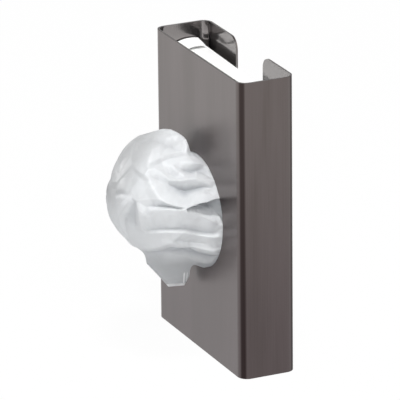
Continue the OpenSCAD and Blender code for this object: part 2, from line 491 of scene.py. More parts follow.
@dataclass(frozen=True)
class BagFilm:
    """Thin white polyethylene film that lets some light through."""

    name: str = "folded_film"
    through: float = 0.1
    white: Triple = (0.855, 0.866, 0.877)
    shade: Triple = (0.785, 0.798, 0.808)
    crinkle: Noise = Noise((330.0, 330.0, 330.0), 3.0, 0.45)
    cloud: Noise = Noise((60.0, 60.0, 60.0), 2.0, 0.5)
    crinkle_share: float = 0.3
    white_span: Span = (0.3, 0.65)
    crinkle_height: float = 0.0001
    crinkle_strength: float = 0.6
    roughness: float = 0.36
    crinkle_swing: float = 0.12
    ior: float = 1.5
    facets_per_metre: float = 105.0
    facet_height: float = 0.0011
    warp_per_metre: float = 50.0
    warp: float = 0.004

    def material(self) -> bpy.types.Material:
        """The film's material."""
        return new_material(self.name, self._shade)

    def _shade(self, graph: NodeGraph) -> Field:
        """Adds the film's nodes.

        Args:
            graph: The graph that is added to.

        Returns:
            The film's shader.
        """
        crinkle = graph.noise(self.crinkle)
        mottle = self.crinkle_share * crinkle + (1 - self.crinkle_share) * graph.noise(self.cloud)
        colour = graph.mix(mottle.step(*self.white_span), self.shade, self.white)
        colour, alpha = self._layers(graph, colour)
        normal = graph.bump(crinkle, self.crinkle_height, self.crinkle_strength, self._facets(graph))
        sockets = {
            "Base Color": colour,
            "Roughness": self.roughness + self.crinkle_swing * (crinkle - NOISE_MIDDLE),
            "IOR": self.ior,
            "Alpha": alpha,
            "Normal": normal,
        }
        skin = graph.add("ShaderNodeBsdfPrincipled", None, sockets)
        glow = graph.add("ShaderNodeBsdfTranslucent", None, {"Color": (*self.white, 1.0), "Normal": normal})
        return graph.add("ShaderNodeMixShader", None, {0: self.through, 1: skin, 2: glow})

    def _layers(self, graph: NodeGraph, colour: Field) -> tuple[Field, Field | None]:
        """The film's colour and opacity. Folded film is many layers thick, so it stays as it is.

        Args:
            graph: The graph; not used here.
            colour: The colour of film on film.

        Returns:
            The colour as it shows, and the opacity, or None where nothing shines through.
        """
        return colour, None

    def _facets(self, graph: NodeGraph) -> Field:
        """Adds a bump of the small flat sides that crumpled film falls into.

        Args:
            graph: The graph that is added to.

        Returns:
            The bumped normal.
        """
        wavy = {"Vector": graph.place((self.warp_per_metre,) * 3), "Scale": 1.0}
        waver = graph.add("ShaderNodeTexNoise", None, wavy, "Color")
        warped = graph.vector("ADD", graph.place(), graph.vector("MULTIPLY", waver, (self.warp,) * 3))
        sockets = {"Vector": warped, "Scale": self.facets_per_metre}
        cells = graph.add("ShaderNodeTexVoronoi", {"feature": "DISTANCE_TO_EDGE"}, sockets)
        return graph.bump(cells, self.facet_height)


@dataclass(frozen=True)
class Seam:
    """A welded strip of the film: all that lies between two parallel planes, in metres."""

    facing: Triple
    start: float
    end: float
    blur: float = 0.0002


@dataclass(frozen=True)
class DrawnFilm(BagFilm):
    """The drawn bag's film: painted shade in its folds, on its upper left lobe and low down, a faint painted
    highlight on its ridges, and see-through where one layer hangs down.
    """

    name: str = "drawn_film"
    through: float = 0.45
    deep: float = -2.2
    proud: float = 0.1
    # Painted shade in the folds and a faint painted highlight on the ridges.
    painted_fold_shade_tint: Triple = (0.66, 0.67, 0.69)
    painted_ridge_highlight_tint: Triple = (1.02, 1.02, 1.02)
    # Painted shade on the upper left lobe, darker towards its middle.
    lobe_middle: Triple = (-0.016, -0.062, 0.027)
    lobe_reach: Span = (0.016, 0.031)
    painted_lobe_shade_tint: Triple = (0.67, 0.665, 0.66)
    # Below these heights the film turns see-through and also gets painted shade.
    clear_from: float = -0.011
    clear_below: float = -0.023
    painted_low_shade_tint: Triple = (0.74, 0.73, 0.725)
    clear_alpha: float = 0.26
    seams: tuple[Seam, ...] = (
        Seam((0.36, -0.08, -0.93), 0.0370, 0.0420),
        Seam((0.44, 0.90, -0.08), -0.0308, -0.0300),
        Seam((0.44, 0.90, -0.08), -0.0292, -0.0288),
    )
    seam_below: float = -0.030
    seam_fade: float = 0.003
    seam_white: Triple = (0.95, 0.95, 0.95)

    def _layers(self, graph: NodeGraph, colour: Field) -> tuple[Field, Field | None]:
        """The film's colour and opacity: painted shade in deep folds and a faint painted highlight on proud
        ones, painted shade on the upper left lobe and low down, and opacity by place.

        Args:
            graph: The graph that is added to.
            colour: The colour of film on film.

        Returns:
            The colour as it shows, and the opacity.
        """
        fold = graph.add("ShaderNodeAttribute", {"attribute_name": FOLD_DEPTH}, output="Fac")
        # Painted shade in deep folds and a faint painted highlight on proud ones.
        colour = graph.tint(colour, fold.step(self.deep, self.proud), self.painted_fold_shade_tint, self.painted_ridge_highlight_tint)
        # Painted shade on the upper left lobe.
        off_lobe = graph.vector("ADD", graph.place(), tuple(-side for side in self.lobe_middle))
        far = graph.vector("LENGTH", off_lobe, output="Value")
        colour = graph.tint(colour, far.step(*self.lobe_reach), self.painted_lobe_shade_tint, NO_TINT)
        _, _, height = graph.split(graph.place())
        clear = 1 - height.step(self.clear_below, self.clear_from)
        # Painted shade on the low, hanging film; the same mask makes it see-through.
        colour = graph.tint(colour, clear, NO_TINT, self.painted_low_shade_tint)
        low_end = 1 - height.step(self.seam_below, self.seam_below + self.seam_fade)
        welded = low_end * reduce(Field.largest, [self._strip(graph, seam) for seam in self.seams])
        colour = graph.mix(welded, colour, self.seam_white)
        return colour, (1 - (1 - self.clear_alpha) * clear).largest(welded)

    @staticmethod
    def _strip(graph: NodeGraph, seam: Seam) -> Field:
        """Adds a mask of one welded strip.

        Args:
            graph: The graph that is added to.
            seam: The strip.

        Returns:
            1 on the strip and 0 beside it.
        """
        far = graph.vector("DOT_PRODUCT", graph.place(), seam.facing, output="Value")
        past_start = far.step(seam.start - seam.blur, seam.start + seam.blur)
        past_end = far.step(seam.end - seam.blur, seam.end + seam.blur)
        return past_start * (1 - past_end)


def deselect_all() -> None:
    """Leaves edit mode and deselects every object."""
    if bpy.context.object and bpy.context.object.mode != "OBJECT":
        bpy.ops.object.mode_set(mode="OBJECT")
    bpy.ops.object.select_all(action="DESELECT")


def make_active(piece: bpy.types.Object) -> None:
    """Selects one object alone.

    Args:
        piece: The object.
    """
    deselect_all()
    piece.select_set(True)
    bpy.context.view_layer.objects.active = piece


def apply_modifier(piece: bpy.types.Object, kind: str, settings: Mapping[str, Any]) -> None:
    """Adds one modifier and applies it.

    Args:
        piece: The object.
        kind: The modifier's type.
        settings: Its properties.
    """
    make_active(piece)
    modifier = piece.modifiers.new(kind.title(), kind)
    for name, value in settings.items():
        setattr(modifier, name, value)
    bpy.ops.object.modifier_apply(modifier=modifier.name)


def settle(piece: bpy.types.Object) -> None:
    """Puts an object's place, turn and scale into its mesh.

    Args:
        piece: The object.
    """
    make_active(piece)
    bpy.ops.object.transform_apply(location=True, rotation=True, scale=True)


def dress(piece: bpy.types.Object, material: bpy.types.Material) -> None:
    """Gives an object one material.

    Args:
        piece: The object.
        material: The material.
    """
    piece.data.materials.clear()
    piece.data.materials.append(material)


def node_of(node: Node) -> bpy.types.Object:
    """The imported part's object for a node.

    Args:
        node: The node.

    Returns:
        Its object.
    """
    return bpy.data.objects[node.value]


@dataclass
class Housing:
    """The folded steel sheet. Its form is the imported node's, and only its finish is new."""

    finish: BrushedSteel = BrushedSteel()

    def build(self) -> bpy.types.Object:
        """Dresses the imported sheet.

        Returns:
            The dressed object.
        """
        piece = node_of(Node.HOUSING)
        dress(piece, self.finish.material())
        return piece


@dataclass
class RefillCarton:
    """The card carton of folded bags."""

    finish: CoatedCard = CoatedCard()

    def build(self) -> bpy.types.Object:
        """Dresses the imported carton.

        Returns:
            The dressed object.
        """
        piece = node_of(Node.CARTON)
        dress(piece, self.finish.material())
        return piece


@dataclass
class BagPile:
    """The folded bags that are left in the carton, leaf behind leaf."""

    leaves: int = 20
    fullness: float = 0.92
    rounding: float = 0.42
    rounding_steps: int = 3
    wave: float = 0.48 * MM
    waves_per_metre: float = 30.0
    wave_shift: float = 3.7
    seed: int = 7
    finish: BagFilm = BagFilm()

    def build(self) -> bpy.types.Object:
        """Models one folded bag, copies it through the pile and joins the copies.

        Returns:
            The pile.
        """
        low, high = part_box(Node.PILE.value)
        size = high - low
        thickness = size.y / self.leaves
        first = self._leaf(low, size, thickness)
        copies = [first]
        for number in range(1, self.leaves):
            copy = first.copy()
            copy.data = first.data.copy()
            bpy.context.scene.collection.objects.link(copy)
            copy.data.transform(Matrix.Translation((0, number * thickness, 0)))
            copies.append(copy)
        noise.seed_set(self.seed)
        for number, leaf in enumerate(copies):
            self._ripple(leaf, number, low, high)
        deselect_all()
        for leaf in copies:
            leaf.select_set(True)
        bpy.context.view_layer.objects.active = first
        bpy.ops.object.join()
        dress(first, self.finish.material())
        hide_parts(Node.PILE.value)
        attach(first, ROOT)
        return first

    def _leaf(self, low: Vector, size: Vector, thickness: float) -> bpy.types.Object:
        """Models the frontmost folded bag.

        Args:
            low: The pile's lowest corner.
            size: The pile's size.
            thickness: Thickness of one folded bag.

        Returns:
            The folded bag.
        """
        deselect_all()
        middle = (low.x + size.x / 2, low.y + thickness / 2, low.z + size.z / 2)
        scale = (size.x, self.fullness * thickness, size.z)
        bpy.ops.mesh.primitive_cube_add(size=1, location=middle, scale=scale)
        leaf = bpy.context.object
        leaf.name = "folded_bags"
        settle(leaf)
        bpy.ops.object.mode_set(mode="EDIT")
        bpy.ops.mesh.select_all(action="SELECT")
        bpy.ops.mesh.bevel(offset=self.rounding * thickness, segments=self.rounding_steps, affect="EDGES")
        bpy.ops.object.mode_set(mode="OBJECT")
        apply_modifier(leaf, "SUBSURF", {"levels": 1, "render_levels": 1, "subdivision_type": "SIMPLE"})
        make_active(leaf)
        bpy.ops.object.shade_smooth()
        return leaf

    def _ripple(self, leaf: bpy.types.Object, number: int, low: Vector, high: Vector) -> None:
        """Moves a folded bag's edges a little, inside the pile's box.

        Args:
            leaf: The folded bag.
            number: Its place in the pile.
            low: The pile's lowest corner.
            high: The pile's highest corner.
        """
        for vertex in leaf.data.vertices:
            across = vertex.co.x * self.waves_per_metre
            up = vertex.co.z * self.waves_per_metre
            shift = noise.noise_vector(Vector((number * self.wave_shift, across, up)))
            for axis in (0, 2):
                off_middle = vertex.co[axis] - (low[axis] + high[axis]) / 2
                vertex.co[axis] -= math.copysign(abs(shift[axis]) * self.wave, off_middle)


@dataclass(frozen=True)
class Crease:
    """One crease of the drawn film, read in the photograph. Each point is a column and a row of
    the photograph, and how far the film stands out there, in millimetres."""

    name: str
    seen: tuple[Triple, ...]


@dataclass(frozen=True)
class Cut:
    """A flat side that a lobe is pulled to, at a distance from the heart, in millimetres."""

    facing: Triple
    distance: float


@dataclass(frozen=True)
class Lobe:
    """An ellipsoid that the puffed film fills, from the heart, in millimetres, and its flat sides."""

    middle: Triple
    half_axes: Triple
    cuts: tuple[Cut, ...] = ()


@dataclass(frozen=True)
class Search:
    """How the places of seen points are looked for on the flat disc. Lengths are shares of its radius."""

    start_lines: int = 81
    start_within: float = 0.99
    rounds: int = 12
    nudge: float = 0.002
    longest_move: float = 0.05
    steadying: float = 1e-6


SEEN_CREASES = (
    Crease("top corner", ((128, 142, 0.6), (136, 142.5, 0.5), (145, 138.5, 0.4), (150, 137, 0.3))),
    Crease("under top corner", ((132, 145, -0.3), (142, 143.5, -0.4), (150, 141, -0.5))),
    Crease("top lip", ((160, 136.5, 0.6), (170, 139, 1.0), (180, 142, 1.1), (184, 144.5, 0.8))),
    Crease("under top lip", (
        (152, 140.5, -0.4), (160, 142.5, -0.7), (168, 146, -0.9), (176, 149.5, -0.9), (182, 151, -0.5),
    )),
    Crease("lobe's lip", (
        (143, 165.5, 0.2), (150, 163.5, 0.6), (155, 160.5, 0.8), (160, 158, 0.9), (168, 155, 1.0),
        (176, 153.5, 0.9), (185, 152.5, 0.5),
    )),
    Crease("under lobe", (
        (146, 169, -0.2), (151, 167, -0.4), (156, 164, -0.6), (161, 161.5, -0.7), (168, 158.5, -0.7),
        (176, 157, -0.6), (186, 156, -0.4),
    )),
    Crease("first pleat", (
        (179, 162, 0.4), (186, 162, 1.2), (193, 162.5, 1.6), (200, 163.5, 1.3), (205, 165.5, 0.3),
    )),
    Crease("under first pleat", (
        (181, 168.5, -0.7), (185, 171, -1.5), (191, 172, -1.9), (197, 170.5, -1.6), (203, 168, -0.5),
    )),
    Crease("star", ((173, 164, 0.2), (175, 168.5, 1.2), (179, 172.5, 0.6))),
    Crease("beside star", ((168, 166, -0.2), (170, 173, -0.7), (176, 176.5, -0.7))),
    Crease("second pleat", (
        (149, 169.5, 0.4), (155, 168.5, 0.9), (160, 171, 1.0), (165, 176, 1.0), (170, 180, 1.3),
        (180, 180.5, 1.6), (188, 179, 1.8), (196, 178.5, 1.8), (203, 180.5, 1.4), (210, 185.5, 0.4),
    )),
    Crease("left of second pleat", ((152, 176, -0.6), (159, 180, -1.0), (165, 182.5, -0.8))),
    Crease("under second pleat", (
        (167, 183.5, -0.6), (174, 186.5, -1.5), (180, 189.5, -2.2), (186, 191.5, -2.5), (192, 189.5, -2.3),
        (199, 187.5, -1.8), (206, 187, -1.0), (212, 189, -0.3),
    )),
    Crease("bright lump", ((197, 194, 0.7), (204, 194.5, 0.9), (213, 195, 0.6))),
    Crease("above bright lump", ((203, 190.5, -0.3), (208, 192, -0.6), (213, 191, -0.4))),
    Crease("bright spot", ((145, 187.5, 0.3), (151, 189, 0.6), (157, 186, 0.5))),
    Crease("third pleat", (
        (150, 199, 0.2), (160, 200.5, 0.9), (170, 204.5, 1.4), (180, 207, 1.7), (186, 207.3, 1.7),
        (191, 205.5, 1.7), (195, 203.5, 1.7), (200, 204, 1.7), (209, 201.5, 1.5), (218, 198.5, 0.4),
    )),
    Crease("above pocket's lip", (
        (147, 207, -0.5), (155, 206.3, -1.1), (163, 206, -1.3), (172, 207.3, -1.0), (179, 208.8, -0.5),
    )),
    Crease("pocket's lip", (
        (145, 211.5, 0.4), (150, 210.5, 0.9), (160, 209.5, 1.4), (170, 209.3, 1.6), (180, 210.3, 1.7),
        (190, 211.7, 1.7), (200, 214, 1.7), (210, 217.5, 1.5), (216, 220, 1.1), (221, 223, 0.4),
    )),
    Crease("soft dent", ((172, 228, -0.4), (184, 226, -0.8), (193, 229.5, -1.0))),
    Crease("above fourth pleat", (
        (146, 230.5, -0.4), (156, 229, -0.7), (166, 228.7, -0.9), (176, 228.7, -1.0), (186, 229, -1.0),
        (194, 230.5, -1.1), (202, 232, -1.1), (212, 233, -1.0), (220, 233.5, -0.3),
    )),
    Crease("fourth pleat", (
        (146, 234.5, 0.5), (156, 232.8, 0.9), (165, 232.4, 1.0), (175, 232.2, 1.1), (185, 232.4, 1.1),
        (192, 234, 1.1), (200, 235.8, 1.1), (210, 237, 1.0), (218, 237.5, 0.4),
    )),
    Crease("band", ((144, 238.5, 0.6), (158, 238.3, 0.8), (168, 238.3, 0.5))),
    Crease("under fourth pleat", ((178, 240, -0.2), (192, 242, -0.3), (206, 243.5, -0.2))),
    Crease("band's edge", (
        (134, 246.5, 0.7), (141, 248.3, 1.0), (150, 248.5, 1.2), (160, 246.5, 1.3), (168, 243.5, 1.3),
        (173, 242, 1.3), (180, 244.5, 1.4), (188, 247.2, 1.6), (198, 248.2, 1.8), (208, 250.5, 1.7),
        (218, 252, 0.6),
    )),
    Crease("under band", (
        (146, 252, -0.8), (154, 252.5, -1.2), (163, 250.5, -1.4), (172, 247, -1.4), (181, 249.5, -1.6),
        (190, 251.5, -1.8), (200, 253, -2.0), (210, 255.5, -1.7), (216, 257, -0.6),
    )),
    Crease("low fold", ((194, 261, 0.5), (203, 263.5, 0.9), (210, 264, 0.5))),
    Crease("streak", (
        (132, 165.5, 0.2), (138, 170.5, 0.5), (144, 174.5, 0.6), (150, 178.5, 0.6), (156, 180.5, 0.2),
    )),
    Crease("under streak", ((131.5, 169, -0.1), (136, 173.5, -0.4), (141, 178, -0.5), (145, 181.5, -0.2))),
    Crease("left line", ((115, 188.5, 0.0), (119, 189.3, 0.4), (124, 188.7, 0.4))),
    Crease("under left line", ((115, 193, 0.0), (121, 194, -0.3), (128, 194.5, -0.3))),
    Crease("left ledge", ((115, 197.5, 0.0), (122, 197, 0.5), (132, 197.5, 0.5))),
    Crease("left diagonal", ((130, 200.5, 0.8), (124, 209, 1.1), (118.5, 219, 0.7))),
    Crease("beside left diagonal", ((132.5, 205, -0.7), (128.5, 213.5, -1.0), (125, 221, -0.6))),
    Crease("beside upright", (
        (134.8, 205, -0.8), (135.3, 213, -1.1), (135.5, 222, -1.0), (134.5, 228, -0.4),
    )),
    Crease("upright", ((137, 201, 0.8), (138.2, 210, 1.2), (139.5, 219, 1.1), (140, 227, 0.3))),
)


def ease(share: np.ndarray) -> np.ndarray:
    """A smooth rise from 0 to 1 over the same range."""
    held = np.clip(share, 0.0, 1.0)
    return held * held * (3.0 - 2.0 * held)


@dataclass
class DrawnBag:
    """The first bag, half drawn out of the opening and puffed up. Sizes are in millimetres.

    The film is a flat disc that is blown up round a heart. A place on it is an angle round the opening,
    in degrees, and a share: 0 is the outermost point, 1 the opening's rim, and more lies inside.
    """

    opening_d: float = 57.0
    film_gap: float = 0.3
    front_y: float = -29.0
    # The heart is where the film is blown up from, in front of the panel.
    heart_out: float = 15.0
    heart_up: float = 5.0
    heart_left: float = 1.5
    panel_gap: float = 0.5
    gap_share: float = 0.03
    panel_slope: float = 0.02
    # How soon the puffed film draws in to the rim: later where the tip hangs down beside it.
    rim_share: float = 0.22
    tip_rim_share: float = 0.07
    tip_angle: float = -95.0
    tip_spread: float = 48.0
    overhang: float = 0.10
    overhang_share: float = 0.3
    # The neck passes the opening, and the foot spreads out behind the panel.
    neck_y: float = -26.3
    foot_y: float = -25.9
    foot_r: float = 35.6
    neck_share: float = 1.05
    foot_share: float = 1.16
    grid: int = 216
    film_t: float = 0.12
    lobes: tuple[Lobe, ...] = (
        Lobe(
            (-1, -0.5, 5),
            (30.5, 27, 30),
            (
                Cut((-0.38, -0.05, 0.93), 34.0),
                Cut((-0.5, -0.72, 0.48), 32.3),
                Cut((0.75, -0.05, 0.66), 27.0),
            ),
        ),
        Lobe((-3.0, -1.0, -8.5), (22.5, 20, 17)),
        Lobe(
            (-2, 3.0, -20),
            (17, 20, 34),
            (
                Cut((0.36, -0.08, -0.93), 40.0),
                Cut((-0.08, -0.77, -0.63), 27.5),
                Cut((-0.37, -0.92, -0.11), 14.2),
                Cut((0.52, 0.71, -0.47), 26.3),
                Cut((0.44, 0.90, -0.08), 12.9),
            ),
        ),
    )
    crispness: float = 14.0
    cut_slope: float = 0.2
    tip_middle: Triple = (-6.0, -35.9, -40.2)
    tip_facing: Triple = (0.86, -0.39, 0.34)
    tip_top: float = -20.0
    tip_height: float = 17.0
    tip_flatness: float = 0.85
    # The pocket's upper and lower edge are angles, each at a share of the way to the rim.
    pocket_shares: tuple[float, ...] = (0.70, 0.80, 0.88, 0.94, 1.0)
    pocket_above: tuple[float, ...] = (24.6, 26.8, 26.4, 27.6, 28.8)
    pocket_below: tuple[float, ...] = (22.6, 17.6, 12.0, 7.4, 1.6)
    pocket_wall: float = 0.9
    pocket_end: float = 0.02
    pocket_y: float = -26.0
    pocket_reach: float = 33.0
    pocket_rise: float = 10.0
    seen_creases: tuple[Crease, ...] = SEEN_CREASES
    search: Search = Search()
    # Each point of these two pleats is an angle, a share and a lift.
    top_pleat: tuple[Triple, ...] = (
        (99, 0.72, 1.6), (94, 0.76, 1.9), (88, 0.79, 1.7), (84, 0.82, 1.6), (79, 0.83, 1.6), (74, 0.81, 1.0),
    )
    behind_top_pleat: tuple[Triple, ...] = (
        (104, 0.84, -1.6), (94, 0.87, -2.2), (85, 0.88, -2.0), (78, 0.87, -1.0), (72, 0.85, -0.4),
    )
    # The far side's folds run from the rim towards the outermost point, a valley after each ridge.
    hidden_folds: int = 5
    hidden_from: float = 124.0
    hidden_step: float = 24.0
    hidden_sway: float = 3.0
    hidden_phase: float = 2.3
    hidden_shares: tuple[float, ...] = (0.96, 0.83, 0.66, 0.46)
    hidden_leans: tuple[float, ...] = (0.0, 1.0, 4.0, 11.0)
    hidden_ridge: tuple[float, ...] = (0.3, 1.0, 0.7, 0.1)
    hidden_valley: tuple[float, ...] = (-0.4, -1.6, -0.9, -0.1)
    lift_scale: float = 1.3
    still_share: float = 1.02
    still_step: int = 12
    net_within: float = 1e-6
    flat_size: Span = (0.23, 0.07)
    finish: DrawnFilm = DrawnFilm()
    heart: np.ndarray = field(init=False, repr=False)
    neck_r: float = field(init=False)
    net: list[tuple[np.ndarray, np.ndarray]] = field(init=False, repr=False)

    def __post_init__(self) -> None:
        """Works out the heart, the neck's radius and the net of folds."""
        self.heart = np.array([-self.heart_left, self.front_y - self.heart_out, self.heart_up])
        self.neck_r = self.opening_d / 2 - self.film_gap
        self.net = self._tie_net()

    def _shown_folds(self) -> list[list[Triple]]:
        """Lays the photograph's creases on the flat disc.

        Returns:
            Each crease's points: two places on the disc and a lift.
        """
        seen = np.array([point for crease in self.seen_creases for point in crease.seen])
        names = [crease.name for crease in self.seen_creases for _ in crease.seen]
        spots, missed = self._place_seen(seen[:, :2], seen[:, 2])
        LOG.info("creases lie %.2f px off at most, at: %s", missed.max(), names[int(missed.argmax())])
        found = iter(spots.tolist())
        return [[(*next(found), point[2]) for point in crease.seen] for crease in self.seen_creases]

    def _hidden_folds(self) -> list[list[Triple]]:
        """Lays the top pleat, which the photograph shows edge on, and the far side's folds on the disc.

        Returns:
            Each fold's points: two places on the disc and a lift.
        """
        folds = [list(self.top_pleat), list(self.behind_top_pleat)]
        for number in range(self.hidden_folds):
            angle = self.hidden_from + number * self.hidden_step
            for turned, lifts in ((0.0, self.hidden_ridge), (0.5, self.hidden_valley)):
                sway = self.hidden_sway * math.sin(self.hidden_phase * number)
                start = angle + turned * self.hidden_step + sway
                rows = zip(self.hidden_leans, self.hidden_shares, lifts)
                folds.append([(start + lean, share, lift) for lean, share, lift in rows])
        return [[(*self._on_disc(angle, share), lift) for angle, share, lift in fold] for fold in folds]

    @staticmethod
    def _on_disc(angle: float, share: float) -> Span:
        """The place on the flat disc of an angle in degrees and a share."""
        turn = math.radians(angle)
        return share * math.cos(turn), share * math.sin(turn)

    def _tie_net(self) -> list[tuple[np.ndarray, np.ndarray]]:
        """Ties the creases into a net of flat triangles.

        Returns:
            Each triangle's three corners on the flat disc, and how far the film stands out at them.
        """
        spots: list[Span] = []
        lifts: list[float] = []
        ties: list[tuple[int, int]] = []
        for line in self._shown_folds() + self._hidden_folds():
            first = len(spots)
            spots += [(x, y) for x, y, _ in line]
            lifts += [lift for _, _, lift in line]
            ties += [(i, i + 1) for i in range(first, len(spots) - 1)]
        for share in (self.still_share, self.foot_share):
            for angle in range(0, 360, self.still_step):
                spots.append(self._on_disc(angle, share))
                lifts.append(0.0)
        flat = [Vector(spot) for spot in spots]
        corners, _, faces, sources, _, _ = geometry.delaunay_2d_cdt(flat, ties, [], 0, self.net_within)
        places = np.array([tuple(corner) for corner in corners])
        heights = np.array([lifts[source[0]] if source else 0.0 for source in sources])
        return [(places[list(face)], heights[list(face)]) for face in faces]

    def _place_seen(self, seen: np.ndarray, lifts: np.ndarray) -> tuple[np.ndarray, np.ndarray]:
        """Finds where on the film the photograph's points lie.

        Args:
            seen: Columns and rows of the photograph.
            lifts: How far the film stands out at them.

        Returns:
            Their places on the flat disc, and how many pixels each is off.
        """
        camera = PhotoCamera()
        search = self.search
        line = np.linspace(-1, 1, search.start_lines)
        disc = np.stack([side.ravel() for side in np.meshgrid(line, line)], -1)
        disc = disc[np.hypot(disc[:, 0], disc[:, 1]) < search.start_within]
        points = self._lifted(disc, np.zeros(len(disc)))
        disc = disc[(points - self.heart) @ camera.back() > 0]
        shown = camera.show(self._lifted(disc, np.zeros(len(disc))))
        spots = disc[np.argmin(np.linalg.norm(shown[None] - seen[:, None], axis=2), axis=1)]
        nudge = search.nudge
        # Each round moves every place by what the slopes say its point of the photograph is off.
        for _ in range(search.rounds):
            here = camera.show(self._lifted(spots, lifts))
            along_x = (camera.show(self._lifted(spots + (nudge, 0), lifts)) - here) / nudge
            along_y = (camera.show(self._lifted(spots + (0, nudge), lifts)) - here) / nudge
            slopes = np.stack([along_x, along_y], -1) + search.steadying * np.eye(2)
            move = np.linalg.solve(slopes, (seen - here)[..., None])[..., 0]
            far = np.linalg.norm(move, axis=1, keepdims=True)
            spots = spots + move * np.minimum(1, search.longest_move / np.maximum(far, TINY))
            spots = spots * np.minimum(1, 1 / np.linalg.norm(spots, axis=1, keepdims=True))
        return spots, np.linalg.norm(camera.show(self._lifted(spots, lifts)) - seen, axis=1)

    def _lifted(self, spots: np.ndarray, lifts: np.ndarray) -> np.ndarray:
        """Points of the film, each standing out by its lift.

        Args:
            spots: Places on the flat disc.
            lifts: How far the film stands out there, before the scale of lifts.

        Returns:
            The points.
        """
        share = np.hypot(spots[:, 0], spots[:, 1])
        angle = np.degrees(np.arctan2(spots[:, 1], spots[:, 0]))
        raised = self._outward(angle, share) * (self.lift_scale * lifts)[:, None]
        return self._smooth_point(angle, share) + raised

    def _near_rim(self, angle: np.ndarray, share: np.ndarray) -> np.ndarray:
        """Tells the rim from the rest. The step is short below, where the tip hangs by the rim.

        Args:
            angle: Angles round the opening.
            share: Shares of the way to the rim.

        Returns:
            1 at the rim and 0 away from it.
        """
        off_tip = np.abs((angle - self.tip_angle + 180) % 360 - 180)
        beside = ease(off_tip / self.tip_spread)
        width = self.tip_rim_share + (self.rim_share - self.tip_rim_share) * beside
        return ease((share - 1 + width) / width)

    def _outward(self, angle: np.ndarray, share: np.ndarray) -> np.ndarray:
        """Finds the ways that the film's folds stand out in, straight off the opening's axis near the rim.

        Args:
            angle: Angles round the opening.
            share: Shares of the way to the rim.

        Returns:
            Unit directions.
        """
        near_rim = self._near_rim(angle, share)[:, None]
        way = self._toward(angle, share) * (1 - near_rim) + self._radial(angle) * near_rim
        return way / np.linalg.norm(way, axis=1, keepdims=True)

    @staticmethod
    def _radial(angle: np.ndarray) -> np.ndarray:
        """Unit directions straight off the opening's axis, at angles in degrees."""
        turn = np.radians(angle)
        return np.stack([np.cos(turn), np.zeros_like(turn), np.sin(turn)], -1)

    def _rim_point(self, angle: np.ndarray) -> np.ndarray:
        """The rim's points at angles in degrees."""
        return self.neck_r * self._radial(angle) + (0, self.front_y, 0)

    def _toward(self, angle: np.ndarray, share: np.ndarray) -> np.ndarray:
        """Finds the ways from the heart to the film, along the arc from straight out to the rim.

        Args:
            angle: Angles round the opening.
            share: Shares of the way to the rim.

        Returns:
            Unit directions.
        """
        rim = self._rim_point(angle) - self.heart
        unit = rim / np.linalg.norm(rim, axis=-1, keepdims=True)
        out = np.array([0.0, -1.0, 0.0])
        arc = np.arccos(np.clip(unit @ out, -1, 1))
        part = (np.sin((1 - share) * arc) / np.sin(arc))[..., None]
        return part * out + (np.sin(share * arc) / np.sin(arc))[..., None] * unit

    def _reach(self, way: np.ndarray, lobe: Lobe) -> np.ndarray:
        """Measures from the heart to a lobe's surface.

        Args:
            way: Unit directions.
            lobe: The lobe.

        Returns:
            The distance along each direction.
        """
        axes = np.array(lobe.half_axes)
        u = way / axes
        v = np.array(lobe.middle) / axes
        uu = (u * u).sum(-1)
        uv = u @ v
        reach = (uv + np.sqrt(np.maximum(uv * uv - uu * (v @ v - 1), 0))) / uu
        for cut in lobe.cuts:
            toward = way @ np.array(cut.facing)
            to_cut = cut.distance / np.maximum(toward, self.cut_slope)
            reach = np.where(toward > self.cut_slope, np.minimum(reach, to_cut), reach)
        return reach

    def _smooth_point(self, angle: np.ndarray, share: np.ndarray) -> np.ndarray:
        """Blows the film up, before its folds.

        Args:
            angle: Angles round the opening.
            share: Shares of the way to the rim.

        Returns:
            The film's points.
        """
        way = self._toward(angle, share)
        lobes = [self._reach(way, lobe) for lobe in self.lobes]
        blown = sum(lobe**self.crispness for lobe in lobes) ** (1 / self.crispness)
        backward = way[..., 1]
        to_panel = (self.heart_out - self.panel_gap) / np.maximum(backward, self.panel_slope)
        held = np.minimum(blown, np.where(backward > self.panel_slope, to_panel, blown))
        near_rim = self._near_rim(angle, share)
        rim = np.linalg.norm(self._rim_point(angle) - self.heart, axis=-1)
        points = self.heart + (held * (1 - near_rim) + rim * near_rim)[..., None] * way
        x = points[..., 0]
        rim_x = self.neck_r * np.cos(np.radians(angle))
        farthest = rim_x + self.overhang * (self.front_y - points[..., 1])
        points[..., 0] = np.where(share > self.overhang_share, np.minimum(x, farthest), x)
        return points

    def _lift(self, angle: np.ndarray, share: np.ndarray) -> np.ndarray:
        """How far the net makes the film stand out.

        Args:
            angle: Angles round the opening.
            share: Shares of the way to the rim.

        Returns:
            Heights over the film before its folds, in millimetres.
        """
        turn = np.radians(angle)
        x = share * np.cos(turn)
        y = share * np.sin(turn)
        lift = np.zeros(len(angle))
        for (a, b, c), heights in self.net:
            area = (b[0] - a[0]) * (c[1] - a[1]) - (c[0] - a[0]) * (b[1] - a[1])
            if abs(area) < NO_AREA:
                continue
            at_b = ((x - a[0]) * (c[1] - a[1]) - (c[0] - a[0]) * (y - a[1])) / area
            at_c = ((b[0] - a[0]) * (y - a[1]) - (x - a[0]) * (b[1] - a[1])) / area
            inside = (at_b >= -TINY) & (at_c >= -TINY) & (at_b + at_c <= 1 + TINY)
            raised = (1 - at_b - at_c) * heights[0] + at_b * heights[1] + at_c * heights[2]
            lift[inside] = raised[inside]
        return lift

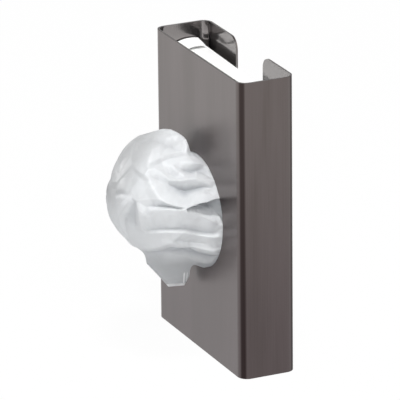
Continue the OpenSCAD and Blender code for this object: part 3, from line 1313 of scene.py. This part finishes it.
    def points_at(self, angle: np.ndarray, share: np.ndarray) -> np.ndarray:
        """Points of the folded film.

        Args:
            angle: Angles round the opening.
            share: Shares of the way to the rim.

        Returns:
            The points, in millimetres.
        """
        held = np.minimum(share, 1.0)
        lift = self.lift_scale * self._lift(angle, share) * (1 - self._spread(share))
        points = self._smooth_point(angle, held) + self._outward(angle, held) * lift[:, None]
        clear = self.front_y - self.panel_gap * np.clip((1 - share) / self.gap_share, 0, 1)
        points[:, 1] = np.minimum(points[:, 1], clear)
        points = self._flatten_tip(points)
        return self._tuck_pocket(self._lead_in(points, angle, share), angle, share)

    def _spread(self, share: np.ndarray) -> np.ndarray:
        """How far the foot has spread: 0 up to the neck, and 1 at the foot's edge."""
        return np.clip((share - self.neck_share) / (self.foot_share - self.neck_share), 0, 1)

    def _flatten_tip(self, points: np.ndarray) -> np.ndarray:
        """Presses the welded end of the bag flat.

        Args:
            points: The film's points.

        Returns:
            The points, with those below the bulb brought together.
        """
        facing = np.array(self.tip_facing)
        low = ease((self.tip_top - points[:, 2]) / self.tip_height) * self.tip_flatness
        gap = (points - np.array(self.tip_middle)) @ facing
        return points - facing * (gap * low)[:, None]

    def _tuck_pocket(self, points: np.ndarray, angle: np.ndarray, share: np.ndarray) -> np.ndarray:
        """Pushes the film between two pleats back through the opening, which leaves a dark pocket.

        Args:
            points: The film's points.
            angle: Their angles round the opening.
            share: Their shares of the way to the rim.

        Returns:
            The points, with the pocket's floor behind the front panel.
        """
        above = np.interp(share, self.pocket_shares, self.pocket_above)
        below = np.interp(share, self.pocket_shares, self.pocket_below)
        round_angle = (angle + 180) % 360 - 180
        depth = ease(np.minimum(above - round_angle, round_angle - below) / self.pocket_wall)
        depth *= ease((share - self.pocket_shares[0]) / self.pocket_end)
        inward = np.maximum(1 - share, 0) / (1 - self.pocket_shares[0])
        x = self.neck_r * np.cos(np.radians(angle)) - self.pocket_reach * inward
        floor = np.stack([x, self.pocket_y - self.pocket_rise * inward, points[:, 2]], -1)
        depth = np.where(share < self.neck_share, depth, 0)[:, None]
        return points * (1 - depth) + floor * depth

    def _lead_in(self, points: np.ndarray, angle: np.ndarray, share: np.ndarray) -> np.ndarray:
        """Leads the film past the rim, through the opening and out over the carton's torn edge.

        Args:
            points: The film's points, at the rim where the share is past 1.
            angle: Their angles.
            share: Their shares.

        Returns:
            The points with those inside the housing put in place.
        """
        through = np.clip((share - 1) / (self.neck_share - 1), 0, 1)
        spread = self._spread(share)
        inside = share > 1
        led = points.copy()
        led[:, 1] = np.where(inside, self.front_y + (self.neck_y - self.front_y) * through, led[:, 1])
        led[:, 1] += (self.foot_y - self.neck_y) * spread
        flat = np.hypot(led[:, 0], led[:, 2])
        led += (self._radial(angle) * ((self.foot_r - flat) * spread)[:, None]) * inside[:, None]
        return led

    def _disc(self) -> tuple[np.ndarray, np.ndarray]:
        """Lays a square grid over a disc, so that no cell is much smaller than its neighbours.

        Returns:
            Angles in degrees and shares, row by row.
        """
        line = np.linspace(-1, 1, self.grid)
        a, b = (side.ravel() for side in np.meshgrid(line, line))
        wide = np.abs(a) > np.abs(b)
        radius = np.where(wide, a, b)
        safe = np.where(radius == 0, 1, radius)
        quarter = math.pi / 4
        turn = np.where(wide, quarter * b / safe, math.pi / 2 - quarter * a / safe)
        turn = np.where(radius < 0, turn + math.pi, turn)
        return np.degrees(turn), np.abs(radius) * self.foot_share

    def build(self) -> bpy.types.Object:
        """Models the film, gives it its thickness and dresses it.

        Returns:
            The film.
        """
        angle, share = self._disc()
        n = self.grid
        corners = [j * n + i for j in range(n - 1) for i in range(n - 1)]
        faces = [(c, c + n, c + n + 1, c + 1) for c in corners]
        mesh = bpy.data.meshes.new("drawn_film")
        mesh.from_pydata((self.points_at(angle, share) * MM).tolist(), [], faces)
        depth = mesh.attributes.new(FOLD_DEPTH, "FLOAT", "POINT")
        depth.data.foreach_set("value", self._lift(angle, share))
        film = bpy.data.objects.new("drawn_film", mesh)
        bpy.context.scene.collection.objects.link(film)
        self._face_outward(film)
        make_active(film)
        bpy.ops.object.shade_smooth()
        walls = {"thickness": self.film_t * MM, "offset": -1.0, "use_rim": True, "use_even_offset": False}
        apply_modifier(film, "SOLIDIFY", walls)
        dress(film, self.finish.material())
        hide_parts(Node.DRAWN_BAG.value)
        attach(film, ROOT)
        return film

    def _face_outward(self, film: bpy.types.Object) -> None:
        """Turns the film's faces so that they point away from the heart.

        Args:
            film: The film, one open sheet.
        """
        heart = Vector(self.heart * MM)
        votes = sum(math.copysign(1, f.normal.dot(f.center - heart)) for f in film.data.polygons)
        if votes < 0:
            film.data.flip_normals()


@dataclass(frozen=True)
class Lamp:
    """A soft square lamp that looks at a point."""

    name: str
    place: Triple
    size: float
    watts: float
    target: Triple = (0.0, -0.02, 0.0)

    def build(self) -> None:
        """Adds the lamp."""
        data = bpy.data.lights.new(self.name, "AREA")
        data.shape = "SQUARE"
        data.size = self.size
        data.energy = self.watts
        lamp = bpy.data.objects.new(self.name, data)
        bpy.context.scene.collection.objects.link(lamp)
        lamp.location = self.place
        aim = Vector(self.target) - Vector(self.place)
        lamp.rotation_euler = aim.to_track_quat("-Z", "Y").to_euler()
        lamp.visible_camera = False


@dataclass(frozen=True)
class Studio:
    """A pale floor, a white surround and soft lamps."""

    floor_side: float = 12.0
    floor_grey: float = 0.85
    floor_glow: float = 0.97
    ambient: float = 0.31
    lamps: tuple[Lamp, ...] = (
        Lamp("side_lamp", (1.7, -0.25, 1.5), 0.6, 16.0),
        Lamp("top_lamp", (0.6, -0.22, 2.0), 0.4, 29.5),
        Lamp("front_lamp", (1.9, -0.9, 0.8), 0.6, 10.0),
        Lamp("left_lamp", (-1.6, -0.9, 0.10), 0.8, 14.0),
    )

    def build(self) -> None:
        """Adds the floor, the world and the lamps."""
        self._add_floor()
        self._fill_world()
        for lamp in self.lamps:
            lamp.build()

    @staticmethod
    def _seen(graph: NodeGraph) -> Field:
        """1 where the camera, a reflection or a see-through piece looks, and 0 elsewhere."""
        kinds = ("Is Camera Ray", "Is Glossy Ray", "Is Transmission Ray")
        return reduce(Field.largest, [graph.add("ShaderNodeLightPath", output=kind) for kind in kinds])

    def _add_floor(self) -> None:
        """Adds the floor under the foot."""
        deselect_all()
        low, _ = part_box(Node.HOUSING.value)
        bpy.ops.mesh.primitive_plane_add(size=self.floor_side, location=(0, 0, low.z))
        floor = bpy.context.object
        floor.name = "floor"
        settle(floor)
        dress(floor, new_material("pale_floor", self._floor_shade))

    def _floor_shade(self, graph: NodeGraph) -> Field:
        """Adds the floor's nodes.

        Args:
            graph: The graph that is added to.

        Returns:
            The floor's shader: matt, and nearly white where it is seen.
        """
        matt = graph.add("ShaderNodeBsdfDiffuse", None, {"Color": (*(self.floor_grey,) * 3, 1.0)})
        glow = graph.add("ShaderNodeEmission", None, {"Color": OPAQUE_WHITE, "Strength": 1.0})
        share = self._seen(graph) * self.floor_glow
        return graph.add("ShaderNodeMixShader", None, {0: share, 1: matt, 2: glow})

    def _fill_world(self) -> None:
        """Fills the world: white where it is seen, and dimmer where it only lights."""
        world = bpy.data.worlds.new("studio")
        bpy.context.scene.world = world
        world.use_nodes = True
        graph = NodeGraph(world.node_tree)
        strength = self.ambient + (1 - self.ambient) * self._seen(graph)
        back = graph.add("ShaderNodeBackground", None, {"Color": OPAQUE_WHITE, "Strength": strength})
        graph.finish(back, "ShaderNodeOutputWorld")


@dataclass(frozen=True)
class PhotoCamera:
    """The camera that took the photograph, as fitted to the housing's edges."""

    place: Triple = (2.08074, -0.98095, 0.83512)
    azimuth: float = 65.389
    elevation: float = 19.944
    roll: float = 0.596
    focal_px: float = 5032.5
    sensor: float = 36.0
    clip: Span = (0.05, 50.0)

    def build(self) -> None:
        """Adds the camera and makes it the scene's."""
        data = bpy.data.cameras.new("camera")
        data.sensor_width = self.sensor
        data.lens = self.focal_px / PHOTO_SIDE_PX * self.sensor
        data.clip_start, data.clip_end = self.clip
        camera = bpy.data.objects.new("camera", data)
        bpy.context.scene.collection.objects.link(camera)
        camera.matrix_world = Matrix.Translation(self.place) @ self._turn().to_4x4()
        bpy.context.scene.camera = camera

    def back(self) -> np.ndarray:
        """The direction from the object to the camera."""
        return np.array(self._turn())[:, 2]

    def show(self, points: np.ndarray) -> np.ndarray:
        """The photograph's columns and rows of points in millimetres.

        Args:
            points: Rows of three numbers.

        Returns:
            Rows of a column and a row.
        """
        right, up, back = ((points * MM - np.array(self.place)) @ np.array(self._turn())).T
        middle = PHOTO_SIDE_PX / 2
        return np.stack([middle - self.focal_px * right / back, middle + self.focal_px * up / back], -1)

    def _turn(self) -> Matrix:
        """Works out the camera's rotation.

        Returns:
            The rotation, whose columns are the camera's right, up and back.
        """
        a, e, r = (math.radians(v) for v in (self.azimuth, self.elevation, self.roll))
        back = Vector((math.sin(a) * math.cos(e), -math.cos(a) * math.cos(e), math.sin(e)))
        right = Vector((math.cos(a), math.sin(a), 0))
        up = back.cross(right)
        rolled_right = right * math.cos(r) - up * math.sin(r)
        rolled_up = right * math.sin(r) + up * math.cos(r)
        return Matrix((rolled_right, rolled_up, back)).transposed()


def main() -> None:
    """Builds the dressed dispenser, its studio and its camera."""
    logging.basicConfig(level=logging.INFO, format="%(name)s: %(message)s")
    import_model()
    PhotoCamera().build()
    for part in (Housing(), RefillCarton(), BagPile(), DrawnBag()):
        piece = part.build()
        LOG.info("%s: %d faces", piece.name, len(piece.data.polygons))
    Studio().build()
    bpy.context.scene.view_settings.view_transform = "Standard"


if __name__ == "__main__":
    main()
